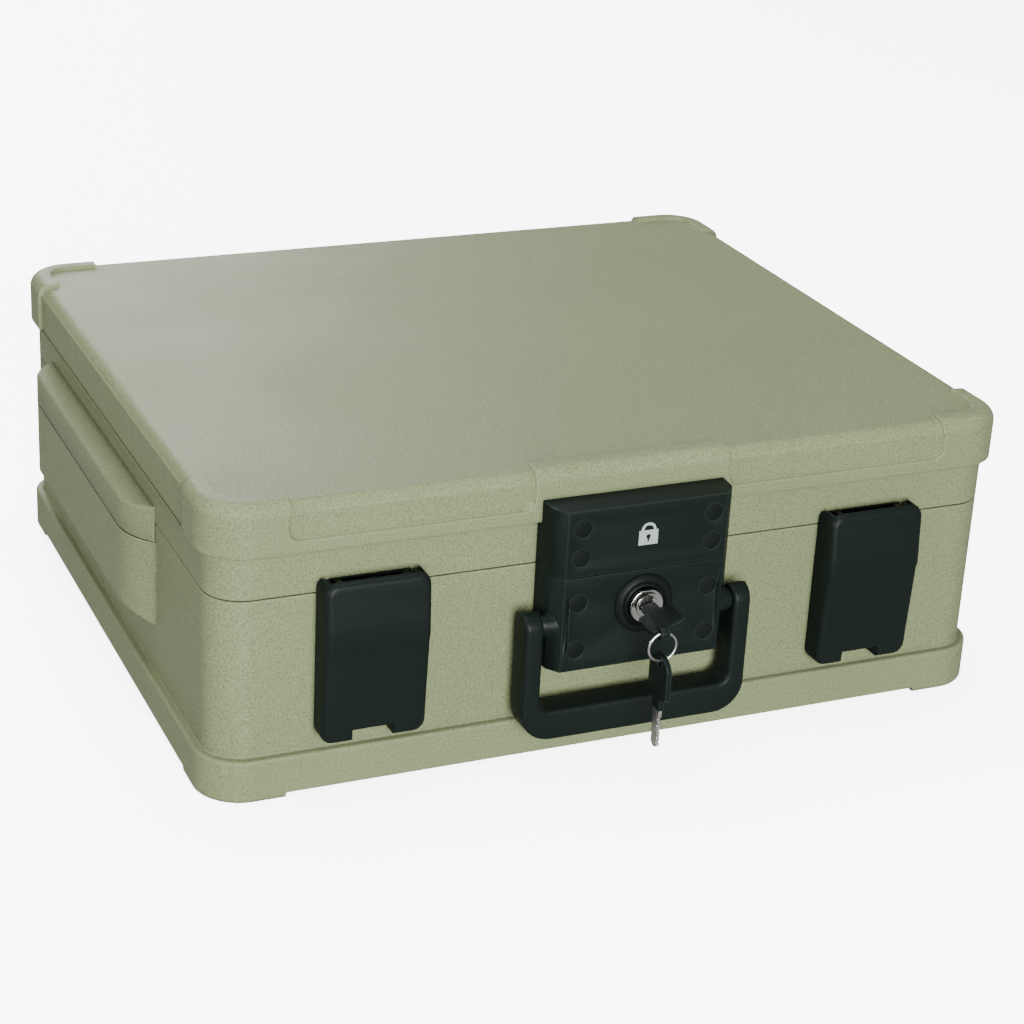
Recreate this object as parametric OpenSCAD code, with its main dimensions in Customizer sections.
// Fireproof document box: insulated base and lid on rear hinges, two draw
// latches, a key lock between them, a bail handle, and a key ring with a spare.
// X runs to the right, the front faces -Y, Z is up. The origin is on the
// surface the feet stand on, under the middle of the moulded shells.
// "Depth" below is the distance in front of the base's front wall.

/* [Box] */
// Width of the lid and of the skirt
box_w = 505; // [460:1:520]
// Depth of the lid and of the skirt, front to back
box_d = 432; // [420:1:460]
// Height to the top of the corner caps
box_h = 182; // [178:1:190]
// Height of the parting line between base and lid
seam_z = 123.5; // [123:0.1:124]
// Gap between base and lid at the parting line
seam_gap = 0.5; // [0.4:0.1:0.6]
// How far the walls stand back from the skirt and the lid's upper band
wall_inset = 5; // [4:0.5:6]
// Plan radius of the outer corners
corner_r = 28; // [24:1:32]
// Thickness of the moulded shells
shell_t = 4; // [3:0.5:5]

/* [Base] */
// Height of the skirt's ledge
skirt_z = 26.5; // [22:0.5:30]
// Height of the corner feet
foot_h = 2.5; // [2:0.5:4]
// Length of each foot along the edges
foot_len = 47; // [30:1:60]

/* [Lid] */
// Height of the step below the lid's upper band
step_z = 150.5; // [149:0.5:152]
// Height of the lower edge of the recessed front panels
panel_z = 158.4; // [156:0.2:161]
// Depth of the recessed edges and panels
recess = 2.2; // [1.5:0.1:3]
// Length of each corner cap along the edges
cap_len = 48; // [35:1:60]
// Width of a corner cap's raised rim on the top
cap_rim = 14; // [10:1:20]
// Inner end of each recessed front panel, from the middle
panel_in = 61; // [59:0.5:65]
// Outer end of each recessed front panel, from the middle
panel_out = 206; // [190:1:212]

/* [Interior] */
// Width of the storage tray
tray_w = 404; // [380:1:420]
// Depth of the storage tray
tray_d = 315; // [300:1:330]
// Height of the tray's floor
tray_floor = 28; // [26:1:32]
// Thickness of the inner liners
liner_t = 3; // [2:0.5:4]

/* [Side grips] */
// How far each moulded grip stands out of the wall
grip_out = 14.5; // [12:0.5:16]
// Place of the grip's front tip, in front of the middle of the box
grip_front = -97; // [-105:1:-92]
// Place where the grip's flat face starts
grip_flat_front = -66; // [-70:1:-60]
// Place where the grip's flat face ends
grip_flat_back = 135; // [128:1:138]
// Place of the grip's back tip
grip_back = 152; // [148:1:158]
// Height of the grip's top at the wall
grip_top = 134; // [131:0.5:138]
// Height of the grip's lower end at the wall
grip_bottom = 57; // [50:1:64]
// Height of the parting line across the grip, where the lid's half hangs over the base's
grip_seam = 112; // [108:1:118]

/* [Lock housing] */
// Half width of the housing at the wall
housing_half = 57; // [56:0.5:58]
// Half width of the housing's face
face_half = 50; // [49:0.5:51]
// How far the face stands in front of the wall
face_depth = 26; // [25:0.5:27]
// Height of the lower housing's bottom edge
housing_z = 65; // [63:0.5:67]
// Height of the upper cover's top edge
cover_z = 164.5; // [162:0.5:166]
// Height of the lock's axis
lock_z = 102.5; // [102:0.1:103]
// Angle of the key in the lock, from level
key_tilt = 17; // [10:1:20]

/* [Handle] */
// Half width over the handle's arms
handle_half = 71.5; // [71:0.1:73]
// Width of each arm
arm_w = 10.9; // [10.5:0.1:11]
// Depth of the handle, front to back
handle_t = 18.5; // [18:0.1:18.5]
// Height of the bar's lower edge
bar_z = 21.4; // [20:0.1:22]
// Height of the bar
bar_h = 19.2; // [18:0.1:19.4]
// Height of the handle's pivots
pivot_z = 92; // [91.5:0.1:92.5]
// How far the pivots stand in front of the wall
pivot_depth = 16.3; // [16.2:0.1:16.4]

/* [Latches] */
// Distance of each latch from the middle
latch_x = 157.5; // [150:0.5:162]
// Width of a latch
latch_w = 62; // [58:1:64]
// Height of a latch's top
latch_top = 135; // [134.8:0.1:135.2]
// Height of a latch's bottom
latch_bottom = 35; // [32:0.5:38]

/* [Hidden] */
$fn = 64;

shell_colour = [0.66, 0.65, 0.52];
black = [0.11, 0.13, 0.13];
steel = [0.75, 0.75, 0.74];
white_fill = [0.88, 0.87, 0.82];
liner_colour = [0.55, 0.54, 0.44];

wall_w = box_w - 2 * wall_inset;
wall_d = box_d - 2 * wall_inset;
wall_r = corner_r - wall_inset;
wall_y = -wall_d / 2;
back_y = wall_d / 2;
lid_z = seam_z + seam_gap;
top_z = box_h - recess;
cut = 1;

cavity_w = wall_w - 2 * shell_t;
cavity_d = wall_d - 2 * shell_t;
cavity_r = wall_r - shell_t;
tray_r = 22;
base_flange_z = seam_z - 2.5;
lid_flange_z = lid_z + 1;
lid_tray_h = 12;

grip_length = grip_back - grip_front;
// fall of the grip's top, and rise of its underside, from the wall to the face
grip_slope = 3.1;
grip_rise = 6.5;
// space between the lid's hanging half of the grip and the base's wall
apron_gap = 0.4;

cover_wall = 3;
plug_r = 5.5;
plug_x = 41;
plug_recess = 0.3;
plug_t = 2.2;
cover_plug_z = [135.8, 153.7];
housing_plug_z = [78.5, 107.5];
screw_seat = 8;

lock_r = 10.2;
lock_front = 31;
lock_back = 7;
plug_core_r = 6.5;
cam_len = 15;
cam_half = 4.5;
strike_z = lock_z - cam_half - 3.5;
collar_r = 18;

key_bow_half = 11;
key_bow_back = 40;
key_bow_end = 61;
spare_bow_end = 66;
key_neck = 32.5;
key_neck_half = 4.5;
key_thick = 3;
key_hole_r = 2.5;
key_blade_w = 7.5;
key_blade_t = 2;
key_blade_len = 24.5;
eye_r = 3.6;
eye_hole_r = 1.7;
eye_len = 5;

ring_r = 8.5;
ring_wire = 0.75;
ring_depth = 62.5;
ring_x = -5;
ring_z = 92.5;

handle_mid = handle_half - arm_w;
pin_r = 3.5;
boss_end = handle_mid - 0.3;
latch_pin_z = latch_top - 7.5;
latch_pin_depth = 8.2;
latch_pin_r = 2.5;
latch_wall = 3;
hinge_x = 150;
hinge_w = 60;
hinge_y = back_y + 5.5;
hinge_z = seam_z + seam_gap / 2;
knuckle_r = 5;
hinge_pin_r = 2.2;
leaf_t = 2.5;

// ---- shared shapes ----

// Rounded rectangle about the origin
module rounded_rect(w, d, r) {
    square([w - 2 * r, d], center = true);
    square([w, d - 2 * r], center = true);
    for (sx = [-1, 1], sy = [-1, 1])
        translate([sx * (w / 2 - r), sy * (d / 2 - r)]) circle(r);
}

// Rounded slab between two heights
module slab(w, d, r, z0, z1) {
    translate([0, 0, z0]) linear_extrude(z1 - z0) rounded_rect(w, d, r);
}

// Box between two corners
module span(a, b) {
    translate(a) cube([b[0] - a[0], b[1] - a[1], b[2] - a[2]]);
}

// Box in front of the front wall, given by width, depth and height ranges
module front_box(x, d, z) {
    span([x[0], wall_y - d[1], z[0]], [x[1], wall_y - d[0], z[1]]);
}

// Cylinder on an axis that points forwards, between two depths
module front_cyl(x, z, r, d0, d1, r2 = undef) {
    translate([x, wall_y - d0, z]) rotate([90, 0, 0])
        cylinder(r1 = r, r2 = is_undef(r2) ? r : r2, h = d1 - d0);
}

// Cylinder along X
module cross_cyl(x0, x1, y, z, r) {
    translate([x0, y, z]) rotate([0, 90, 0]) cylinder(r = r, h = x1 - x0);
}

// Outline in depth and height, drawn out along X
module front_profile(x0, x1, points) {
    translate([x0, wall_y, 0]) rotate([90, 0, 90])
        linear_extrude(x1 - x0) mirror([1, 0]) polygon(points);
}

// Screw whose head rests at a point, with its shank pointing along -Z
module screw(head_r, head_h, shank_r, shank_len) {
    difference() {
        cylinder(r = head_r, h = head_h);
        for (a = [0, 90]) rotate([0, 0, a])
            translate([-head_r * 0.6, -0.4, head_h - 0.8]) cube([head_r * 1.2, 0.8, 2]);
    }
    translate([0, 0, -shank_len]) cylinder(r = shank_r, h = shank_len);
}

// ---- base ----

// Rounded end of a grip, which runs from the flat face at y to the wall after a reach
module grip_end(y, reach) {
    r = (pow(reach, 2) + pow(grip_out, 2)) / (2 * grip_out);
    translate([grip_out - r, y]) circle(r, $fn = 128);
}

// Moulded grip on both sides, between two heights
module grips(z0, z1) {
    for (side = [-1, 1]) scale([side, 1, 1])
        difference() {
            translate([wall_w / 2, 0, z0]) linear_extrude(z1 - z0) intersection() {
                translate([-shell_t / 2, grip_front - cut])
                    square([grip_out + shell_t, grip_length + 2 * cut]);
                union() {
                    translate([-shell_t, grip_flat_front])
                        square([grip_out + shell_t, grip_flat_back - grip_flat_front]);
                    grip_end(grip_flat_front, grip_flat_front - grip_front);
                    grip_end(grip_flat_back, grip_back - grip_flat_back);
                }
            }
            // sloping top and bottom
            translate([wall_w / 2, grip_back + cut, 0]) rotate([90, 0, 0])
                linear_extrude(grip_length + 2 * cut) {
                    polygon([[0, grip_top], [grip_out + cut, grip_top - grip_slope],
                        [grip_out + cut, grip_top + cut], [0, grip_top + cut]]);
                    polygon([[0, grip_bottom], [grip_out + cut, grip_bottom + grip_rise],
                        [grip_out + cut, grip_bottom - cut], [0, grip_bottom - cut]]);
                }
        }
}

module base_shell() {
    color(shell_colour) difference() {
        union() {
            slab(box_w, box_d, corner_r, foot_h, skirt_z);
            intersection() {
                slab(box_w, box_d, corner_r, 0, foot_h);
                for (sx = [-1, 1], sy = [-1, 1])
                    translate([sx * (box_w / 2 - foot_len / 2), sy * (box_d / 2 - foot_len / 2),
                        foot_h / 2])
                        cube([foot_len, foot_len, foot_h + cut], center = true);
            }
            // middle of the underside, level with the feet
            slab(box_w - 2 * foot_len - 10, box_d - 2 * foot_len - 10, corner_r, 0, foot_h);
            slab(wall_w, wall_d, wall_r, skirt_z, seam_z);
            grips(grip_bottom, grip_seam - seam_gap);
        }
        slab(cavity_w, cavity_d, cavity_r, foot_h + shell_t, seam_z + cut);
    }
}

module base_insulation() {
    color(white_fill) difference() {
        slab(cavity_w, cavity_d, cavity_r, foot_h + shell_t, base_flange_z - liner_t);
        slab(tray_w + 2 * liner_t, tray_d + 2 * liner_t, tray_r + liner_t,
            tray_floor - liner_t, seam_z);
    }
}

module base_liner() {
    color(liner_colour) difference() {
        union() {
            slab(cavity_w, cavity_d, cavity_r, base_flange_z - liner_t, base_flange_z);
            slab(tray_w + 2 * liner_t, tray_d + 2 * liner_t, tray_r + liner_t,
                tray_floor - liner_t, base_flange_z);
        }
        slab(tray_w, tray_d, tray_r, tray_floor, seam_z + cut);
    }
}

// Plan of the lock housing, drawn forwards of the wall, up between two heights
module housing_block(z0, z1, inset = 0) {
    translate([0, wall_y, z0]) linear_extrude(z1 - z0) mirror([0, 1])
        polygon([[-housing_half + inset, -inset], [-housing_half + 1 + inset, face_depth - 8],
            [-face_half + inset, face_depth - inset], [face_half - inset, face_depth - inset],
            [housing_half - 1 - inset, face_depth - 8], [housing_half - inset, -inset]]);
}

// Screw pillars behind the plugs
module pillars(heights) {
    for (x = [-plug_x, plug_x], z = heights) front_cyl(x, z, plug_r + 1.5, 0, face_depth - 1);
}

// Stepped bores down the pillars
module pillar_bores(heights) {
    for (x = [-plug_x, plug_x], z = heights) {
        front_cyl(x, z, plug_r, screw_seat, face_depth + cut);
        front_cyl(x, z, 2.1, -cut, screw_seat + cut);
    }
}

module lock_housing() {
    color(black) difference() {
        union() {
            difference() {
                housing_block(housing_z, seam_z);
                housing_block(housing_z + cover_wall, seam_z - cover_wall, cover_wall);
            }
            pillars(housing_plug_z);
            for (side = [-1, 1])
                translate([side * 44, wall_y - pivot_depth, pivot_z]) rotate([0, side * 90, 0])
                    cylinder(r1 = 9, r2 = 6.5, h = boss_end - 44);
        }
        pillar_bores(housing_plug_z);
        front_cyl(0, lock_z, lock_r + 0.1, face_depth - cover_wall - cut, face_depth + cut);
        cross_cyl(-boss_end - cut, -44 + 2, wall_y - pivot_depth, pivot_z, pin_r);
        cross_cyl(44 - 2, boss_end + cut, wall_y - pivot_depth, pivot_z, pin_r);
        front_box([-23, -7], [1, 12], [seam_z - cover_wall - cut, seam_z + cut]);
    }
}

// Four round plugs that close the screw holes
module plugs(heights) {
    color([0.08, 0.1, 0.1]) for (x = [-plug_x, plug_x], z = heights)
        front_cyl(x, z, plug_r - 0.05, face_depth - plug_recess - plug_t, face_depth - plug_recess);
}

// Four screws on the seats of the pillars
module pillar_screws(heights) {
    color(steel) for (x = [-plug_x, plug_x], z = heights)
        translate([x, wall_y - screw_seat, z]) rotate([90, 0, 0]) screw(4, 2.5, 2, screw_seat + 3);
}

module housing_plugs() { plugs(housing_plug_z); }
module housing_screws() { pillar_screws(housing_plug_z); }

module lock_collar() {
    color([0.16, 0.18, 0.18]) difference() {
        front_cyl(0, lock_z, collar_r, face_depth, face_depth + 3, collar_r - 2.5);
        front_cyl(0, lock_z, lock_r + 0.1, face_depth - cut, face_depth + 4);
        front_cyl(0, lock_z, lock_r + 0.8, face_depth + 1, face_depth + 3.1, collar_r - 4);
    }
}

module lock_cylinder() {
    color([0.82, 0.82, 0.8]) difference() {
        union() {
            front_cyl(0, lock_z, lock_r - 1.2, lock_back + 0.3, face_depth);
            intersection() {
                front_cyl(0, lock_z, lock_r, face_depth - cover_wall, lock_front);
                front_box([-lock_r, lock_r], [face_depth - 4, lock_front],
                    [lock_z - lock_r + 0.7, lock_z + lock_r - 0.7]);
            }
        }
        front_cyl(0, lock_z, plug_core_r + 0.06, lock_back - cut, lock_front + cut);
    }
}

module lock_nut() {
    color(steel) difference() {
        translate([0, wall_y - face_depth + cover_wall + 5, lock_z]) rotate([90, 0, 0])
            cylinder(r = 14, h = 5, $fn = 6);
        front_cyl(0, lock_z, lock_r - 1.2, face_depth - cover_wall - 6, face_depth);
    }
}

module handle_pivot_pins() {
    color(steel) for (side = [-1, 1])
        translate([side * 46, wall_y - pivot_depth, pivot_z]) rotate([0, side * 90, 0])
            cylinder(r = pin_r, h = handle_mid + 6 - 46);
}

// Keeper ledge that the latch's hook sits under
module keeper(side) {
    x = side * latch_x;
    color(steel) difference() {
        union() {
            front_box([x - 14, x + 14], [0, 2], [88, 112]);
            front_box([x - 14, x + 14], [0, 6], [102, 107]);
        }
        for (dx = [-8, 8]) front_cyl(x + dx, 94, 1.6, -cut, 3);
    }
}

module latch_keeper_left() { keeper(-1); }
module latch_keeper_right() { keeper(1); }

module keeper_screws() {
    color(steel) for (side = [-1, 1], dx = [-8, 8])
        translate([side * latch_x + dx, wall_y - 2, 94]) rotate([90, 0, 0]) screw(3, 1.6, 1.5, 5);
}

// Hinge leaf: plate on the back wall, with the knuckles it carries
module hinge_leaf(side, plate_z, knuckles, bridge_z) {
    x = side * hinge_x;
    color(steel) difference() {
        union() {
            span([x - hinge_w / 2, back_y, plate_z[0]], [x + hinge_w / 2, back_y + leaf_t, plate_z[1]]);
            for (k = knuckles) {
                cross_cyl(x + k[0], x + k[1], hinge_y, hinge_z, knuckle_r);
                span([x + k[0], back_y + 0.5, bridge_z[0]], [x + k[1], hinge_y, bridge_z[1]]);
            }
        }
        cross_cyl(x - hinge_w, x + hinge_w, hinge_y, hinge_z, hinge_pin_r + 0.05);
        for (dx = [-18, 18])
            translate([x + dx, back_y - cut, (plate_z[0] + plate_z[1]) / 2]) rotate([-90, 0, 0])
                cylinder(r = 2.1, h = leaf_t + 2 * cut);
    }
}

base_plate = [96, hinge_z - 6];
lid_plate = [hinge_z + 6, step_z - 1];
base_knuckles = [[-30, -11.2], [11.2, 30]];
lid_knuckles = [[-11, 11]];

module hinge_base_leaf_left() { hinge_leaf(-1, base_plate, base_knuckles, [hinge_z - 7, hinge_z]); }
module hinge_base_leaf_right() { hinge_leaf(1, base_plate, base_knuckles, [hinge_z - 7, hinge_z]); }

module hinge_pin(side) {
    x = side * hinge_x;
    color(steel) {
        cross_cyl(x - hinge_w / 2 - 1, x + hinge_w / 2 + 1, hinge_y, hinge_z, hinge_pin_r);
        for (end = [-1, 1])
            cross_cyl(x + end * (hinge_w / 2 + 1) - 0.8, x + end * (hinge_w / 2 + 1) + 0.8,
                hinge_y, hinge_z, hinge_pin_r + 1);
    }
}

module hinge_pin_left() { hinge_pin(-1); }
module hinge_pin_right() { hinge_pin(1); }

// Two screws through each of the two leaves on one shell
module leaf_screws(plate_z) {
    color(steel) for (side = [-1, 1], dx = [-18, 18])
        translate([side * hinge_x + dx, back_y + leaf_t, (plate_z[0] + plate_z[1]) / 2])
            rotate([-90, 0, 0]) screw(3.8, 2, 2, 8);
}

module hinge_base_screws() { leaf_screws(base_plate); }

// ---- lid ----

// Everything outside the raised corner caps, along the four top edges
module cap_recesses() {
    edge = 2 * recess;
    difference() {
        slab(box_w + 2, box_d + 2, corner_r, top_z, box_h + cut);
        for (sx = [-1, 1], sy = [-1, 1]) {
            translate([sx * (box_w / 2 - cap_len / 2), sy * (box_d / 2 - cap_rim / 2), box_h])
                cube([cap_len, cap_rim, 3 * recess], center = true);
            translate([sx * (box_w / 2 - cap_rim / 2), sy * (box_d / 2 - cap_len / 2), box_h])
                cube([cap_rim, cap_len, 3 * recess], center = true);
        }
        translate([-panel_in, -box_d / 2 - cut, box_h - edge]) cube([2 * panel_in, cap_rim + cut, 10]);
    }
}

// One recessed panel in the upper band's front face
module front_panel_recess(side) {
    r = 6;
    mid = side * (panel_in + panel_out) / 2;
    length = panel_out - panel_in;
    translate([mid, -box_d / 2 + recess, 0]) rotate([90, 0, 0]) linear_extrude(recess + cut) {
        translate([-length / 2, panel_z + r]) square([length, box_h - panel_z]);
        translate([-length / 2 + r, panel_z]) square([length - 2 * r, r + cut]);
        for (end = [-1, 1]) translate([end * (length / 2 - r), panel_z + r]) circle(r);
    }
}

module lid_shell() {
    color(shell_colour) difference() {
        union() {
            slab(wall_w, wall_d, wall_r, lid_z, step_z);
            slab(box_w, box_d, corner_r, step_z, box_h);
            grips(grip_seam, grip_top);
        }
        // room for the base's wall behind the grips' hanging halves
        slab(wall_w + 2 * apron_gap, wall_d + 2 * apron_gap, wall_r, grip_seam - cut, lid_z);
        slab(cavity_w, cavity_d, cavity_r, lid_z - cut, top_z - shell_t);
        cap_recesses();
        for (side = [-1, 1]) front_panel_recess(side);
    }
}

module lid_insulation() {
    color(white_fill) difference() {
        slab(cavity_w, cavity_d, cavity_r, lid_flange_z + liner_t, top_z - shell_t);
        slab(tray_w - 8 + 2 * liner_t, tray_d - 8 + 2 * liner_t, tray_r + liner_t,
            lid_z, lid_flange_z + lid_tray_h + liner_t);
    }
}

module lid_liner() {
    color(liner_colour) difference() {
        union() {
            slab(cavity_w, cavity_d, cavity_r, lid_flange_z, lid_flange_z + liner_t);
            slab(tray_w - 8 + 2 * liner_t, tray_d - 8 + 2 * liner_t, tray_r + liner_t,
                lid_flange_z, lid_flange_z + lid_tray_h + liner_t);
        }
        slab(tray_w - 8, tray_d - 8, tray_r, lid_z, lid_flange_z + lid_tray_h);
    }
}

module lid_gasket() {
    color([0.1, 0.1, 0.1]) difference() {
        slab(tray_w + 50, tray_d + 50, tray_r + 25, base_flange_z + 0.3, lid_flange_z);
        slab(tray_w + 38, tray_d + 38, tray_r + 19, base_flange_z, lid_flange_z + cut);
    }
}

module lock_cover() {
    color(black) difference() {
        union() {
            difference() {
                housing_block(lid_z, cover_z);
                housing_block(lid_z + cover_wall, cover_z - cover_wall, cover_wall);
            }
            pillars(cover_plug_z);
        }
        pillar_bores(cover_plug_z);
        front_box([-housing_half - cut, housing_half + cut], [-cut, wall_inset], [step_z, cover_z + cut]);
        front_box([-23, -14], [1, 12], [lid_z - cut, lid_z + cover_wall + cut]);
    }
}

module cover_plugs() { plugs(cover_plug_z); }

module cover_screws() { pillar_screws(cover_plug_z); }

// Hooked plate that reaches down into the lock housing, to sit under the turned cam
module lock_strike() {
    color(steel) difference() {
        union() {
            front_box([-24, 8], [0, 2], [128, 146]);
            front_box([-21, -18], [0, 9], [128, 131]);
            front_box([-21, -18], [3, 6], [strike_z, 131]);
            front_box([-21, -8.5], [3, 6], [strike_z, strike_z + 3]);
        }
        for (x = [-19, 3]) front_cyl(x, 140, 1.6, -cut, 3);
    }
}

module strike_screws() {
    color(steel) for (x = [-19, 3])
        translate([x, wall_y - 2, 140]) rotate([90, 0, 0]) screw(3, 1.6, 1.5, 5);
}

// Small padlock emblem on the cover's face
module badge() {
    color([0.85, 0.86, 0.86]) translate([0, wall_y - face_depth, 146]) rotate([90, 0, 0])
        linear_extrude(0.4) {
            difference() {
                translate([-6, -7]) square([12, 9]);
                translate([0, -2]) circle(1.4);
                translate([-0.6, -5]) square([1.2, 3]);
            }
            intersection() {
                difference() {
                    translate([0, 2]) circle(4.6);
                    translate([0, 2]) circle(3);
                }
                translate([-6, 2]) square([12, 6]);
            }
        }
}

// Ears on the lid that hold a latch's pin
module latch_bracket(side) {
    x = side * latch_x;
    color(steel) difference() {
        union() {
            front_box([x - 24, x + 24], [0, 1.6], [lid_z + 1, latch_pin_z + 4]);
            for (ear = [-22, 18]) {
                front_box([x + ear, x + ear + 4], [0, latch_pin_depth], [lid_z + 1, latch_pin_z + 4]);
                cross_cyl(x + ear, x + ear + 4, wall_y - latch_pin_depth, latch_pin_z, 4.2);
            }
        }
        cross_cyl(x - 30, x + 30, wall_y - latch_pin_depth, latch_pin_z, latch_pin_r);
        for (dx = [-10, 10]) front_cyl(x + dx, latch_pin_z, 1.6, -cut, 3);
    }
}

module latch_bracket_left() { latch_bracket(-1); }
module latch_bracket_right() { latch_bracket(1); }

module bracket_screws() {
    color(steel) for (side = [-1, 1], dx = [-10, 10])
        translate([side * latch_x + dx, wall_y - 1.6, latch_pin_z]) rotate([90, 0, 0])
            screw(3, 1.5, 1.5, 5);
}

module latch_pin(side) {
    x = side * latch_x;
    color(steel) cross_cyl(x - latch_w / 2 + 1, x + latch_w / 2 - 1,
        wall_y - latch_pin_depth, latch_pin_z, latch_pin_r);
}

module latch_pin_left() { latch_pin(-1); }
module latch_pin_right() { latch_pin(1); }

module hinge_lid_leaf_left() { hinge_leaf(-1, lid_plate, lid_knuckles, [hinge_z, hinge_z + 7]); }
module hinge_lid_leaf_right() { hinge_leaf(1, lid_plate, lid_knuckles, [hinge_z, hinge_z + 7]); }
module hinge_lid_screws() { leaf_screws(lid_plate); }

// ---- latches ----

// Latch cover, open at the back, with side walls, hook and finger notch
module latch(side) {
    x = side * latch_x;
    half = latch_w / 2;
    crease_z = (latch_top + latch_bottom) / 2 + 12;
    roll_r = latch_top - latch_pin_z + 0.3;
    color(black) difference() {
        union() {
            difference() {
                front_profile(x - half, x + half, [[0.5, latch_bottom], [0.5, latch_top], [17.5, latch_top],
                    [20, crease_z + 1], [18.8, crease_z - 4], [14, latch_bottom]]);
                front_profile(x - half + latch_wall, x + half - latch_wall,
                    [[-1, latch_bottom + latch_wall], [-1, latch_top - 2.5], [14.7, latch_top - 2.5],
                    [17, crease_z + 1], [15.8, crease_z - 4], [11.2, latch_bottom + latch_wall]]);
            }
            // hook that reaches back under the keeper
            front_box([x - 12, x + 12], [6.4, 18], [97, 100.5]);
        }
        // slot in the top for the bracket's ears
        front_box([x - half + latch_wall, x + half - latch_wall], [-1, latch_pin_depth + 5.2],
            [latch_top - 3, latch_top + cut]);
        // round back corner that rolls clear of the wall
        difference() {
            front_box([x - half - cut, x + half + cut], [-2, latch_pin_depth],
                [latch_pin_z, latch_top + cut]);
            cross_cyl(x - half - 2, x + half + 2, wall_y - latch_pin_depth, latch_pin_z, roll_r);
        }
        cross_cyl(x - half - cut, x + half + cut, wall_y - latch_pin_depth, latch_pin_z, latch_pin_r + 0.06);
        front_box([x - 12, x + 12], [-2, 30], [latch_bottom - cut, latch_bottom + 6.5]);
    }
}

module latch_left() { latch(-1); }
module latch_right() { latch(1); }

// ---- handle ----

module carry_handle() {
    outer_r = 17;
    inner_r = 6;
    y0 = wall_y - pivot_depth - handle_t / 2;
    color(black) difference() {
        intersection() {
            // outline seen from the front
            translate([0, y0 + handle_t, 0]) rotate([90, 0, 0]) linear_extrude(handle_t) difference() {
                union() {
                    translate([-handle_half, bar_z + outer_r])
                        square([2 * handle_half, pivot_z - bar_z - outer_r + handle_t / 2]);
                    translate([-handle_half + outer_r, bar_z])
                        square([2 * (handle_half - outer_r), outer_r + cut]);
                    for (sx = [-1, 1])
                        translate([sx * (handle_half - outer_r), bar_z + outer_r]) circle(outer_r);
                }
                translate([-handle_mid, bar_z + bar_h + inner_r])
                    square([2 * handle_mid, 100]);
                translate([-handle_mid + inner_r, bar_z + bar_h])
                    square([2 * (handle_mid - inner_r), inner_r + cut]);
                for (sx = [-1, 1])
                    translate([sx * (handle_mid - inner_r), bar_z + bar_h + inner_r]) circle(inner_r);
            }
            // outline seen from the side, round about the pivots
            union() {
                cross_cyl(-handle_half - cut, handle_half + cut, wall_y - pivot_depth, pivot_z,
                    handle_t / 2);
                span([-handle_half - cut, y0, bar_z - cut], [handle_half + cut, y0 + handle_t, pivot_z]);
            }
        }
        for (side = [-1, 1])
            translate([side * (handle_mid - cut), wall_y - pivot_depth, pivot_z])
                rotate([0, side * 90, 0]) cylinder(r = pin_r + 0.06, h = 8 + cut);
    }
}

// ---- lock core and keys ----

// Moves a key drawn flat, pointing back along +Y from its origin, into the lock
module in_lock() {
    translate([0, wall_y, lock_z]) rotate([0, -key_tilt, 0]) children();
}

// Moves the same key so that its hole hangs on the bottom of the ring
module on_ring() {
    hole_z = ring_z - ring_r + ring_wire + 0.25 - key_hole_r;
    translate([ring_x, wall_y - ring_depth, hole_z - spare_bow_end + 5]) rotate([0, 90, 0])
        rotate([0, 0, -90]) children();
}

module lock_plug() {
    color([0.7, 0.7, 0.68]) difference() {
        union() {
            front_cyl(0, lock_z, plug_core_r, lock_back, lock_front + 0.3);
            front_cyl(0, lock_z, 3.5, 3.5, lock_back);
        }
        in_lock() translate([-key_blade_w / 2 - 0.2, -lock_front - 2, -key_blade_t / 2 - 0.2])
            cube([key_blade_w + 0.4, lock_front + 2 - 7.6, key_blade_t + 0.4]);
        front_cyl(0, lock_z, 1.5, 0, 7);
    }
}

module lock_cam() {
    color(steel) difference() {
        union() {
            front_cyl(0, lock_z, cam_half + 1, 4, 6.2);
            front_box([-cam_half, cam_half], [4, 6.2], [lock_z, lock_z + cam_len]);
        }
        front_cyl(0, lock_z, 3.5, 3, 7);
    }
}

module cam_screw() {
    color(steel) union() {
        front_cyl(0, lock_z, 4.6, 1.5, 3.5);
        front_cyl(0, lock_z, 1.5, 3.5, 7);
    }
}

// Plastic head, from the neck to its rounded end
module key_head(end, end_r) {
    corner = 4;
    translate([0, 0, -key_thick / 2]) linear_extrude(key_thick) mirror([0, 1]) {
        translate([-key_bow_half, key_bow_back + corner])
            square([2 * key_bow_half, end - key_bow_back - corner - end_r]);
        translate([-key_bow_half + corner, key_bow_back])
            square([2 * (key_bow_half - corner), corner + cut]);
        translate([-key_bow_half + end_r, end - end_r - cut])
            square([2 * (key_bow_half - end_r), end_r + cut]);
        for (sx = [-1, 1]) {
            translate([sx * (key_bow_half - corner), key_bow_back + corner]) circle(corner);
            translate([sx * (key_bow_half - end_r), end - end_r]) circle(end_r);
        }
        translate([-key_neck_half, key_neck]) square([2 * key_neck_half, key_bow_back - key_neck + cut]);
    }
}

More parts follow.
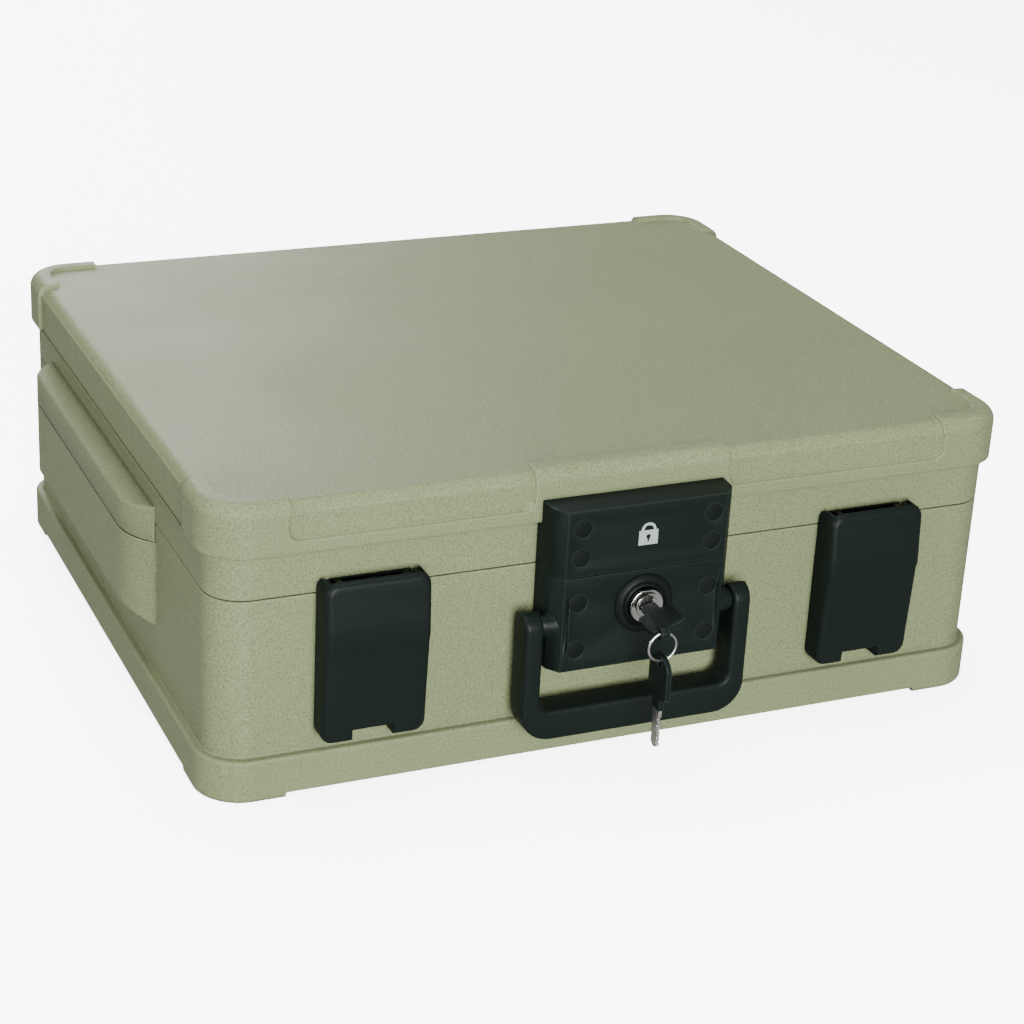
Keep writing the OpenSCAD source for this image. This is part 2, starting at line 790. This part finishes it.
// Steel blade with its cuts, from the neck to the tip
module key_blank() {
    tip = key_neck - key_blade_len;
    color(steel) translate([0, 0, -key_blade_t / 2]) linear_extrude(key_blade_t) mirror([0, 1])
        difference() {
            union() {
                translate([-key_blade_w / 2, tip + 2]) square([key_blade_w, key_blade_len - 2]);
                polygon([[-key_blade_w / 2, tip + 2], [-1.5, tip], [1, tip], [key_blade_w / 2, tip + 2]]);
            }
            for (i = [0:4]) {
                depth = [1.2, 0.8, 1.7, 1.1, 1.5][i];
                at = tip + 4 + 3.6 * i;
                polygon([[key_blade_w / 2 + 0.1, at - 1.4], [key_blade_w / 2 - depth, at - 0.5],
                    [key_blade_w / 2 - depth, at + 0.5], [key_blade_w / 2 + 0.1, at + 1.4]]);
            }
        }
}

// Head of the inserted key, with the eye that carries the ring
module key_bow() {
    color([0.05, 0.05, 0.05]) difference() {
        union() {
            in_lock() key_head(key_bow_end, 5);
            cross_cyl(ring_x - eye_len / 2, ring_x + eye_len / 2,
                wall_y - ring_depth, ring_z + ring_r, eye_r);
        }
        cross_cyl(ring_x - eye_len, ring_x + eye_len, wall_y - ring_depth, ring_z + ring_r, eye_hole_r);
    }
}

module key_blade() { in_lock() key_blank(); }

module spare_key_bow() {
    color([0.05, 0.05, 0.05]) on_ring() difference() {
        key_head(spare_bow_end, 9);
        translate([0, 5 - spare_bow_end, -key_thick]) cylinder(r = key_hole_r, h = 2 * key_thick);
    }
}

module spare_key_blade() { on_ring() key_blank(); }

module key_ring() {
    color(steel) translate([ring_x, wall_y - ring_depth, ring_z]) rotate([90, 0, 0])
        rotate_extrude() translate([ring_r, 0]) circle(ring_wire, $fn = 24);
}

base_shell();
base_insulation();
base_liner();
lock_housing();
housing_plugs();
housing_screws();
lock_collar();
lock_cylinder();
lock_nut();
handle_pivot_pins();
latch_keeper_left();
latch_keeper_right();
keeper_screws();
hinge_base_leaf_left();
hinge_base_leaf_right();
hinge_pin_left();
hinge_pin_right();
hinge_base_screws();
lid_shell();
lid_insulation();
lid_liner();
lid_gasket();
lock_cover();
cover_plugs();
cover_screws();
lock_strike();
strike_screws();
badge();
latch_bracket_left();
latch_bracket_right();
bracket_screws();
latch_pin_left();
latch_pin_right();
hinge_lid_leaf_left();
hinge_lid_leaf_right();
hinge_lid_screws();
latch_left();
latch_right();
carry_handle();
lock_plug();
lock_cam();
cam_screw();
key_bow();
key_blade();
key_ring();
spare_key_bow();
spare_key_blade();
